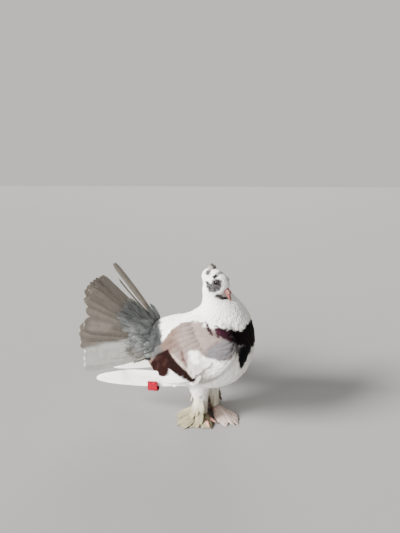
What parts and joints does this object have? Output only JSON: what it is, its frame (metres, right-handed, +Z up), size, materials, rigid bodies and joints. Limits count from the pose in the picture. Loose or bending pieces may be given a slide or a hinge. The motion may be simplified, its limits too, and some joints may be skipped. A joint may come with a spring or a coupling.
{
  "type": "indian fantail pigeon",
  "caption": "Life-size standing fantail pigeon with raised fan tail, puffed chest, small crest and feathered feet.",
  "frame": {"origin": "on the floor, at the middle of the outline of the whole bird seen from above", "axes": "+X the way the bird's body faces, +Y to its left, +Z up"},
  "size_m": [0.2932, 0.188, 0.271],
  "materials": {
    "white_feather": "soft white body feathers, mat",
    "wing_feather": "ash and brown wing feathers, slightly silky",
    "tail_feather": "grey-brown tail feathers, slightly silky",
    "bill_horn": "pale flesh-coloured horn, satin",
    "eye_dark": "dark wet eye, glossy",
    "claw_horn": "horn claws, satin",
    "red_tape": "red adhesive tape, slight gloss"
  },
  "bodies": {
    "root": {"head": "white_feather", "neck": "white_feather", "torso": "white_feather", "bill_upper": "bill_horn", "bill_lower": "bill_horn", "eye_left": "eye_dark", "eye_right": "eye_dark", "wing_left": "wing_feather", "wing_right": "wing_feather", "wing_tape": "red_tape", "tail_left": "tail_feather", "tail_right": "tail_feather", "leg_left": "white_feather", "leg_right": "white_feather", "foot_left": "white_feather", "foot_right": "white_feather", "claw_left_1": "claw_horn", "claw_left_2": "claw_horn", "claw_left_3": "claw_horn", "claw_left_4": "claw_horn", "claw_right_1": "claw_horn", "claw_right_2": "claw_horn", "claw_right_3": "claw_horn", "claw_right_4": "claw_horn"}
  },
  "joints": []
}
